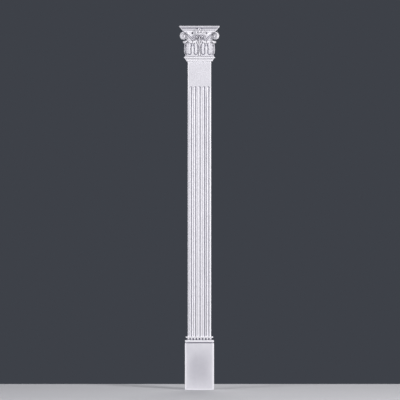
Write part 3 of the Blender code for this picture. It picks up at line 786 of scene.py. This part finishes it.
def leaf(place, half_width, curl, narrowing, foot_share, setback=0.0, rows=84, columns=57):
    """Acanthus leaf as a thick curled sheet, across by u from -1 to 1 and up by v from 0 to 1.

    Its face sinks along two U shaped grooves: each is a ring of the finger's radius about the
    round foot of a finger, carried straight up as its two sides. Between them lie a slit under
    the curl, two pairs of drilled eyes and a pair of raised drops. Fine veins are a cosine
    across each finger. The painted shade is a sum of the same marks: dark in the grooves, slit
    and eyes, on the lower face and on the back under the curl, with painted highlights on the
    veins and drops.
    """
    u = np.linspace(-1, 1, columns)[None, :]
    v = np.linspace(0, 1, rows)[:, None]
    out, z = leaf_path(v, curl)
    step = 1e-3
    out_after, z_after = leaf_path(v + step, curl)
    out_before, z_before = leaf_path(v - step, curl)
    along = np.maximum(np.hypot(out_after - out_before, z_after - z_before), step * curl)
    normal_out = (z_after - z_before) / along
    normal_z = -(out_after - out_before) / along
    width = half_width * leaf_width(v, narrowing, foot_share)
    beside = np.abs(u)
    below = np.maximum(FINGER_FOOT + FINGER_RADIUS - z, 0)
    reach = np.hypot((beside - FINGER_PLACE) * half_width, below)
    fade = np.clip((1 - v) / (1 - LEAF_RISE_SHARE), LEAF_GROOVE_LEAST, 1)
    groove = bell_curve(reach - FINGER_RADIUS, LEAF_GROOVE_WIDTH) * fade
    slit = bell_curve(u, SLIT_HALF_WIDTH) * bell_curve(v - SLIT_PLACE, SLIT_REACH)
    slit_back = bell_curve(u, SLIT_HALF_WIDTH) * np.clip((v - SLIT_PLACE) / SLIT_BACK_RUN, 0, 1)
    under_curl = v < LEAF_RISE_SHARE
    across = (beside, half_width)
    eyes = sum(spot(across, z, mark) for mark in LEAF_EYES) * under_curl
    drops = spot(across, z, LEAF_DROP) * under_curl
    inside = np.clip(1 - reach / FINGER_RADIUS, 0, 1)
    veins = np.cos(2 * math.pi * (beside - FINGER_PLACE) * VEINS_ACROSS) * inside * fade
    relief = LEAF_DROP_RISE * drops + VEIN_RISE * veins + FINGER_RISE * inside
    relief = relief - LEAF_GROOVE_DEPTH * groove - SLIT_DEPTH * slit - LEAF_EYE_DEPTH * eyes
    crown = LEAF_THICKNESS / 2 * (1 - LEAF_EDGE_THINNING * u**4)
    sides = []
    for offset in (crown + relief, -crown + SLIT_BACK_DEPTH * slit_back):
        x, y = around(place + u * width, out - setback + normal_out * offset)
        height = np.broadcast_to(z + normal_z * offset, x.shape)
        sides.append(np.stack([x, y, height + CAPITAL_FOOT], axis=-1))
    face = LEAF_FACE_TONE * np.clip((LEAF_RISE_SHARE - v) / LEAF_FACE_FADE, 0, 1)
    tone = face + LEAF_GROOVE_TONE * groove + SLIT_TONE * slit + LEAF_EYE_TONE * eyes
    tone = tone - VEIN_HIGHLIGHT * veins - LEAF_DROP_HIGHLIGHT * drops
    curled = np.clip(v - LEAF_RISE_SHARE, 0, 1)
    tone_back = np.clip(LEAF_BACK_TONE - LEAF_BACK_FADE * curled, 0, 1) + SLIT_TONE * slit_back
    loops = np.concatenate([sides[0], sides[1][:, ::-1]], axis=1)
    return tube(loops, np.concatenate([np.clip(tone, 0, 1), tone_back], axis=1))


def button(centre, along, across, radius, half, tone):
    """Round boss in an upright plane: rings whose radius is a low power of the tilt's cosine."""
    up = np.array([0.0, 0.0, 1.0])
    swell = arc(-0.48 * math.pi, 0.48 * math.pi, 12)[:, None]
    theta = np.linspace(0, 2 * math.pi, 36, endpoint=False)[None, :]
    ring = radius * np.cos(swell) ** BUTTON_POWER
    offset = half * np.sin(swell) * np.ones_like(theta)
    loops = centre + (ring * np.cos(theta))[..., None] * along
    loops = loops + (ring * np.sin(theta))[..., None] * up + offset[..., None] * across
    return tube(loops, tone)


def signed_power(value, power):
    """Power of the value's size that keeps its sign."""
    return np.sign(value) * np.abs(value) ** power


def scroll(
    root, rise, stalk_width, centre, radius, band, thickness, turn, side, start, turns, web_tone
):
    """Channelled band from its root into a spiral, with a sunk web and a round eye.

    The stalk is a cubic curve that leaves the root along its rise and meets the spiral head on;
    the spiral's reach falls evenly with its angle. The section is a rounded box, powers of cosine
    and sine, with a smooth channel down its front and back faces. The channel has painted shade,
    less so as it winds in, one flank has painted shade, the web has its given painted shade, and
    the rest of the band has a painted highlight.
    """
    along = np.array([side * math.cos(turn), -math.sin(turn), 0.0])
    across = np.array([-side * math.sin(turn), -math.cos(turn), 0.0])
    up = np.array([0.0, 0.0, 1.0])
    wound = np.linspace(0, 1, 130)[:, None]
    angle = start - wound * turns * 2 * math.pi
    spiral_half = band / 2 * (1 - SCROLL_THINNING * wound)
    reach = radius * (1 - SCROLL_CLOSING * wound) - spiral_half
    spiral = centre + reach * (np.cos(angle) * along + np.sin(angle) * up)
    t = np.linspace(0, 1, 41)[:-1, None]
    span = SCROLL_EASE * np.linalg.norm(spiral[0] - root)
    leaving = root + span * rise / np.linalg.norm(rise)
    arriving = spiral[0] - span * (math.sin(start) * along - math.cos(start) * up)
    lead = (1 - t) ** 3 * root + 3 * (1 - t) ** 2 * t * leaving
    lead = lead + 3 * (1 - t) * t**2 * arriving + t**3 * spiral[0]
    path = np.concatenate([lead, spiral])
    halves = np.concatenate([(stalk_width + (band - stalk_width) * t) / 2, spiral_half])
    stalk_depth = STALK_DEPTH + (thickness - STALK_DEPTH) * t
    depths = np.concatenate([stalk_depth, np.full_like(wound, thickness)]) / 2
    front = np.array([0.0, -1.0, 0.0])
    faces = np.concatenate([(1 - t) * front + t * across, 0 * wound + across])
    faces = faces / np.linalg.norm(faces, axis=1, keepdims=True)
    beside = np.cross(np.gradient(path, axis=0), faces)
    beside = beside / np.linalg.norm(beside, axis=1, keepdims=True)
    theta = np.linspace(0, 2 * math.pi, 44, endpoint=False)[None, :]
    wide = signed_power(np.cos(theta), SCROLL_WIDE_POWER)
    deep = signed_power(np.sin(theta), SCROLL_DEEP_POWER)
    stalk_channel = CHANNEL_ROOT_WIDTH + (CHANNEL_WIDTH - CHANNEL_ROOT_WIDTH) * t
    channel_width = np.concatenate([stalk_channel, np.full_like(wound, CHANNEL_WIDTH)])
    channel = bell_curve(wide, channel_width) * (np.abs(deep) > 0.5)
    deep = deep * (1 - CHANNEL_DEPTH * channel)
    loops = path[:, None] + (halves * wide)[..., None] * beside[:, None]
    loops = loops + (depths * deep)[..., None] * faces[:, None]
    winding = np.clip(1 - CHANNEL_FADE * wound, CHANNEL_LEAST_TONE, 1)
    channel_tone = np.concatenate([np.ones_like(t), winding])
    inner = np.clip((side * wide - FLANK_FROM) / FLANK_RUN, 0, 1)
    flank = PAINTED_HIGHLIGHT * (1 - inner) + FLANK_TONE * inner
    tone = channel * channel_tone + flank * (1 - channel)
    web_half = thickness * WEB_DEPTH_SHARE
    web = button(centre, along, across, radius * WEB_RADIUS_SHARE, web_half, web_tone)
    eye_half = thickness * EYE_DEPTH_SHARE
    eye = button(centre, along, across, radius * EYE_RADIUS_SHARE, eye_half, 0.0)
    return [tube(loops, tone), web, eye]


def petal(root, tip, half_width, depth, rows=26):
    """Pointed petal between its root and its tip.

    Its half width follows a skewed sine, and its face is a shallow trough with a crease along
    the middle. It has painted shade in the crease, at the root and underneath, and painted
    highlights on its edges.
    """
    share = np.linspace(0, 1, rows)[:, None]
    run = tip - root
    beside = np.array([run[2], 0.0, -run[0]])
    beside = beside / np.linalg.norm(beside)
    front = np.array([0.0, -1.0, 0.0])
    skew = np.clip(share * 0.93 + 0.04, 0, 1) ** 0.85
    wide = half_width * (0.22 + 0.78 * np.sin(math.pi * skew) ** 0.8)
    u = np.linspace(-1, 1, 17)[None, :]
    trough = 0.55 + 0.75 * u**2 - 0.45 * u**6
    lift = depth * (0.45 + 0.55 * np.sin(math.pi * share * 0.9)) * trough
    lift = lift - depth * CREASE_DEPTH * bell_curve(u, CREASE_WIDTH)
    centre = root + run * share
    face = centre[:, None] + (wide * u)[..., None] * beside + lift[..., None] * front
    under = centre[:, None] + (wide * u)[..., None] * beside * PETAL_UNDER_WIDTH
    under = under - depth * PETAL_UNDER_DEPTH * front
    loops = np.concatenate([face, under[:, ::-1]], axis=1)
    tone = CREASE_TONE * bell_curve(u, CREASE_SHADE_WIDTH) + PETAL_ROOT_TONE * (1 - share) ** 2
    tone = np.clip(tone - PETAL_EDGE_HIGHLIGHT * u**2, PAINTED_HIGHLIGHT, 1)
    return tube(loops, np.concatenate([tone, np.full_like(tone, PETAL_UNDER_TONE)], axis=1))


def stem():
    """Upright strap on the centre line: a full half ellipse over its width, grooved down it, with
    painted shade in the groove.
    """
    rows = np.linspace(0, 1, 30)[:, None]
    height = ROOT_HEIGHT + (HELIX_HEIGHT - ROOT_HEIGHT) * rows
    out = ROOT_OUT + (STEM_OUT - ROOT_OUT) * np.clip(2 * rows, 0, 1)
    theta = np.linspace(0, math.pi, 25)[None, :]
    groove = bell_curve(np.cos(theta), STEM_GROOVE_WIDTH)
    x = -STEM_WIDTH / 2 * np.cos(theta) * np.ones_like(rows)
    lift = STALK_DEPTH * np.sin(theta) ** STEM_POWER * (1 - STEM_GROOVE_DEPTH * groove)
    y = -(BELL_DEPTH + out + lift)
    z = CAPITAL_FOOT + height * np.ones_like(theta)
    return tube(np.stack([x, y, z], axis=-1), STEM_GROOVE_TONE * groove)


def tie():
    """Low ridge up the gap between the two front leaves, wider upwards.

    Over its width it is half a cosine with a shallow groove, and a steep power rounds its ends. It
    carries a light painted shade, darker in the groove towards its top.
    """
    rows = np.linspace(0, 1, 30)[:, None]
    u = np.linspace(-1, 1, 17)[None, :]
    half = TIE_HALF_WIDTH * (1 + TIE_WIDENING * rows)
    rounding = np.sqrt(np.clip(1 - (2 * rows - 1) ** 10, 0.02, 1))
    lift = TIE_OUT * rounding * (0.55 + 0.45 * np.cos(math.pi / 2 * u))
    lift = lift - TIE_GROOVE_DEPTH * bell_curve(u, TIE_GROOVE_WIDTH)
    z = CAPITAL_FOOT + LEAF_FOOT + (ROOT_HEIGHT + TIE_OVERLAP - LEAF_FOOT) * rows + 0 * u
    face = np.stack([half * u, -(BELL_DEPTH + lift), z], axis=-1)
    back = np.stack([half * u, 0 * lift + STALK_DEPTH - BELL_DEPTH, z], axis=-1)
    tone = TIE_TONE + TIE_GROOVE_TONE * bell_curve(u, TIE_SHADE_WIDTH) * rows
    loops = np.concatenate([face, back[:, ::-1]], axis=1)
    return tube(loops, np.concatenate([tone, tone], axis=1))


def bell():
    """Bell: offset outlines that flare as a parabola under the abacus, with drilled eyes.

    The eyes are bell curves of the distance from their centres, darkened with painted shade. A
    light painted shade lies low down, and bell curves of place and level paint shade on the face
    behind the flower and the helices.
    """
    top = ABACUS_LOW + BELL_OVERLAP
    loops, tones = [], []
    for level in np.linspace(NECKING[-1][0] * H, ABACUS_LOW, BELL_ROWS):
        flare = max(level - BELL_TURN, 0) / (top - BELL_TURN)
        out = BELL_FLARE * flare**2
        radius = BELL_CORNER_RADIUS + out
        x, y = plan(BELL_HALF + out, BELL_DEPTH + out, radius, front_steps=BELL_FRONT_STEPS)
        hole = np.zeros(len(x))
        for place, height in BELL_EYES:
            distance = np.hypot(np.abs(x) - place * H, level - height * H)
            hole = np.maximum(hole, bell_curve(distance, BELL_EYE_RADIUS))
        front = y < -BELL_DEPTH * FRONT_SHARE
        y = y + BELL_EYE_DEPTH * hole * front
        loops.append(np.stack([x, y, np.full(len(x), CAPITAL_FOOT + level)], axis=-1))
        faded = np.clip((level / H - BELL_QUIET_TO) / BELL_QUIET_FADE, 0, 1)
        quiet = BELL_QUIET_SHADE - BELL_QUIET_SHADE * faded
        backing = BELL_BACKING_SHADE * bell_curve(x, BELL_BACKING_HALF_WIDTH)
        backing = backing * bell_curve(level - BELL_BACKING_HEIGHT, BELL_BACKING_HALF_HEIGHT)
        tones.append(np.clip(quiet + (hole + backing) * front, 0, 1))
    return tube(np.array(loops), np.array(tones))


def flower():
    """Flower on the abacus: five petals, a heart and a ring of seeds."""
    parts = [ball(at(0.0, FLOWER_OUT + FLOWER_HEART / 2, FLOWER_HEIGHT), FLOWER_HEART, 18, 28)]
    for degrees in PETAL_DIRECTIONS:
        angle = math.radians(degrees)
        x, z = math.cos(angle), math.sin(angle)
        root = at(PETAL_ROOT * x, FLOWER_OUT, FLOWER_HEIGHT + PETAL_ROOT * z)
        tip_height = FLOWER_HEIGHT + FLOWER_SQUAT * PETAL_REACH * z
        tip = at(PETAL_REACH * x, FLOWER_OUT + PETAL_ROOT * z, tip_height)
        parts.append(petal(root, tip, PETAL_HALF_WIDTH, PETAL_DEPTH))
    ring = FLOWER_HEART + SEED_RADIUS / 2
    for turn in np.linspace(0, 2 * math.pi, SEED_COUNT, endpoint=False):
        height = FLOWER_HEIGHT + ring * math.sin(turn)
        seed = at(ring * math.cos(turn), FLOWER_OUT + PETAL_DEPTH, height)
        parts.append(ball(seed, SEED_RADIUS, 8, 12))
    return parts


def half_carving(side):
    """Leaves, scrolls and sheath on one side of the capital's centre line."""
    front, turn = bell_runs()
    parts = [leaf(side * FRONT_LEAF_PLACE, **FRONT_LEAF)]
    parts.append(leaf(side * (front + turn / 2), **CORNER_LEAF, setback=CORNER_LEAF_SETBACK))
    inset = VOLUTE_CORNER_INSET
    height = CAPITAL_FOOT + VOLUTE_HEIGHT
    root = at(side * STALK_ROOT, ROOT_OUT, STALK_FOOT)
    parts += scroll(
        root,
        np.array([side, 0.0, 1.0]),
        VOLUTE_STALK_WIDTH,
        np.array([side * (CAPITAL_HALF - inset), inset - CAPITAL_DEPTH, height]),
        VOLUTE_RADIUS,
        VOLUTE_BAND,
        VOLUTE_THICKNESS,
        VOLUTE_TURN,
        side,
        VOLUTE_START,
        VOLUTE_TURNS,
        VOLUTE_WEB_TONE,
    )
    parts += scroll(
        root,
        np.array([0.0, 0.0, 1.0]),
        HELIX_STALK_WIDTH,
        at(side * HELIX_PLACE, HELIX_OUT, HELIX_HEIGHT),
        HELIX_RADIUS,
        HELIX_BAND,
        HELIX_THICKNESS,
        0.0,
        -side,
        HELIX_START,
        HELIX_TURNS,
        HELIX_WEB_TONE,
    )
    sheath_root = at(side * STEM_WIDTH, ROOT_OUT, ROOT_HEIGHT)
    sheath_x = side * (FRONT_LEAF_PLACE - HELIX_PLACE)
    sheath_tip = at(sheath_x, HELIX_OUT, LEAF_TURN_HEIGHT + HELIX_OUT)
    parts.append(petal(sheath_root, sheath_tip, SHEATH_HALF_WIDTH, SHEATH_DEPTH, rows=40))
    return parts


def capital():
    """Necking, bell and abacus, with the carving of both halves, the stem and the flower."""
    foot = FOOT_PROJECTION - BELL_SIDE_PROJECTION
    necking = [(CAPITAL_FOOT + z * H, foot + out * H, tone) for z, out, tone in NECKING]
    top = CAPITAL_FOOT + H
    abacus = [(top - below * H, -inset * H, tone) for below, inset, tone in ABACUS]
    parts = [
        returned(necking, BELL_HALF, BELL_DEPTH, 0.0),
        returned(abacus, CAPITAL_HALF, CAPITAL_DEPTH, 0.0),
        bell(),
        stem(),
        tie(),
    ]
    for side in (-1, 1):
        parts += half_carving(side)
    parts += flower()
    piece("capital", parts, satin_paint("capital_satin_paint", 0.42, 0.010))


# Studio: the floor's half width and how far it runs to the front and behind the wall plane, and
# the lamps by name, place, size, power and colour, all turned to the same point.
FLOOR_HALF_WIDTH = 1.7
FLOOR_FRONT = 2.2
FLOOR_BACK = 0.45
LAMP_TARGET = (0.0, 0.0, 1.0)
LAMPS = (
    ("key", (3.0, -2.8, 2.4), (0.9, 2.4), 135.0, (1.0, 0.985, 1.0)),
    ("fill", (-3.2, -2.6, 2.0), (1.2, 2.6), 90.0, (0.97, 0.97, 1.0)),
    ("front", (0.2, -5.5, 1.6), (2.0, 2.4), 60.0, (1.0, 0.99, 1.0)),
    ("back", (0.5, 3.5, 2.6), (3.0, 2.0), 60.0, (1.0, 1.0, 1.0)),
)


def floor():
    """Plain pale floor, a rectangle that runs a little way behind the wall plane."""
    level = float(BASE_LOW[2])
    wide = FLOOR_HALF_WIDTH
    near = [(-wide, -FLOOR_FRONT, level), (wide, -FLOOR_FRONT, level)]
    far = [(wide, FLOOR_BACK, level), (-wide, FLOOR_BACK, level)]
    mesh = bpy.data.meshes.new("floor")
    mesh.from_pydata(near + far, [], [(0, 1, 2, 3)])
    mesh.materials.append(pale_floor())
    item = bpy.data.objects.new("floor", mesh)
    bpy.context.scene.collection.objects.link(item)


def aimed(place, target):
    """Rotation that turns a lamp from its place towards the target."""
    x, y, z = (b - a for a, b in zip(place, target))
    return math.atan2(math.hypot(x, y), -z), 0.0, math.atan2(-x, y)


def studio():
    """Slate backdrop, a tall key from the right, a weaker fill from the left, front and back."""
    world = bpy.data.worlds.new("studio")
    bpy.context.scene.world = world
    world.use_nodes = True
    sky = world.node_tree.nodes["Background"]
    sky.inputs["Color"].default_value = (*BACKGROUND, 1.0)
    sky.inputs["Strength"].default_value = 1.0
    for name, place, size, power, colour in LAMPS:
        lamp = bpy.data.lights.new(name, "AREA")
        lamp.shape = "RECTANGLE"
        lamp.size, lamp.size_y = size
        lamp.energy = power
        lamp.color = colour
        item = bpy.data.objects.new(name, lamp)
        item.location = place
        item.rotation_euler = aimed(item.location, LAMP_TARGET)
        bpy.context.scene.collection.objects.link(item)


# The photograph's frame: its pixels, the length one of them spans and where the axis and foot lie.
FRAME_PIXELS = 400
PIXEL_LENGTH = 0.00524
AXIS_COLUMN = 199.46
FOOT_ROW = 389.5
LENS = 260.0
SENSOR = 36.0
CLIP_END = 200.0


def camera():
    """Level camera square to the wall, far off with a long lens, framed as the photograph is."""
    lens = bpy.data.cameras.new("camera")
    lens.lens = LENS
    lens.sensor_width = SENSOR
    lens.clip_end = CLIP_END
    item = bpy.data.objects.new("camera", lens)
    distance = FRAME_PIXELS * PIXEL_LENGTH * LENS / SENSOR
    across = (FRAME_PIXELS / 2 - AXIS_COLUMN) * PIXEL_LENGTH
    height = (FOOT_ROW - FRAME_PIXELS / 2) * PIXEL_LENGTH
    item.location = (across, -distance, height)
    item.rotation_euler = (math.pi / 2, 0.0, 0.0)
    bpy.context.scene.collection.objects.link(item)
    bpy.context.scene.camera = item


def main():
    bpy.context.scene.view_settings.view_transform = "Standard"
    camera()
    studio()
    floor()
    base()
    shaft()
    capital()


main()
